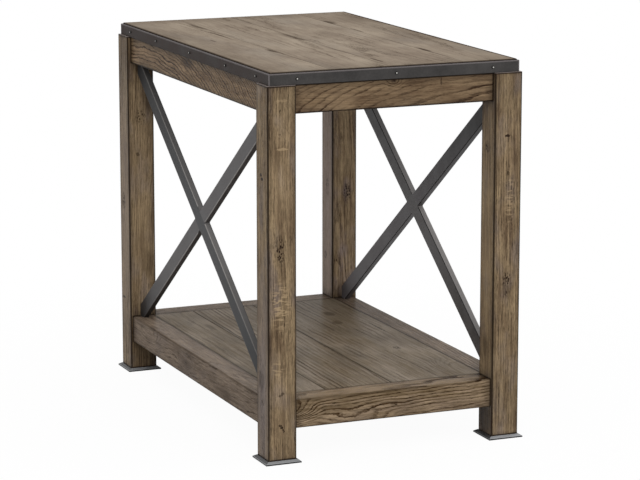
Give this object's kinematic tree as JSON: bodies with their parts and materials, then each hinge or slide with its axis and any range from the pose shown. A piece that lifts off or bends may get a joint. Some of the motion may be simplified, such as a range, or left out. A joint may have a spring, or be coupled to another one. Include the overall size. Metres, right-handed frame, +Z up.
{
  "type": "end table",
  "caption": "Rectangular wooden end table with square legs on iron foot plates, an iron-banded plank top, a plank shelf and flat iron cross braces on the long sides.",
  "frame": {"origin": "on the floor, under the middle of the table", "axes": "+X to the right along the short front, +Y along the long side to the back, +Z up"},
  "size_m": [0.442, 0.706, 0.61],
  "materials": {
    "leg_wood": "brown stained open-grained hardwood, distressed, dull lacquer",
    "rail_wood": "brown stained flat-sawn hardwood, dull lacquer",
    "top_wood": "grey-brown stained planks, dull lacquer",
    "shelf_wood": "grey-brown stained planks, dull lacquer",
    "inner_wood": "plain sawn hardwood, unstained",
    "band_iron": "dark gunmetal, satin",
    "brace_iron": "dark gunmetal, satin",
    "plate_iron": "dark gunmetal, satin, bright on the slope",
    "nail_iron": "dark gunmetal, satin",
    "screw_steel": "zinc plated steel"
  },
  "bodies": {
    "root": {"back_apron": "rail_wood", "back_band_strip": "band_iron", "back_left_corner_block": "inner_wood", "back_left_foot_plate": "plate_iron", "back_left_leg": "leg_wood", "back_right_corner_block": "inner_wood", "back_right_foot_plate": "plate_iron", "back_right_leg": "leg_wood", "back_shelf_batten": "inner_wood", "back_shelf_rail": "rail_wood", "back_top_batten": "inner_wood", "band_nails": "nail_iron", "brace_pins": "screw_steel", "foot_screws": "screw_steel", "front_apron": "rail_wood", "front_band_strip": "band_iron", "front_left_corner_block": "inner_wood", "front_left_foot_plate": "plate_iron", "front_left_leg": "leg_wood", "front_right_corner_block": "inner_wood", "front_right_foot_plate": "plate_iron", "front_right_leg": "leg_wood", "front_shelf_batten": "inner_wood", "front_shelf_rail": "rail_wood", "front_top_batten": "inner_wood", "left_apron": "rail_wood", "left_band_strip": "band_iron", "left_brace_bar_high_back": "brace_iron", "left_brace_bar_high_front": "brace_iron", "left_shelf_rail": "rail_wood", "middle_shelf_batten": "inner_wood", "right_apron": "rail_wood", "right_band_strip": "band_iron", "right_brace_bar_high_back": "brace_iron", "right_brace_bar_high_front": "brace_iron", "right_shelf_rail": "rail_wood", "shelf_board_1": "shelf_wood", "shelf_board_2": "shelf_wood", "shelf_board_3": "shelf_wood", "shelf_screws": "screw_steel", "top_board_1": "top_wood", "top_board_2": "top_wood", "top_board_3": "top_wood", "top_board_4": "top_wood", "top_screws": "screw_steel"}
  },
  "joints": []
}
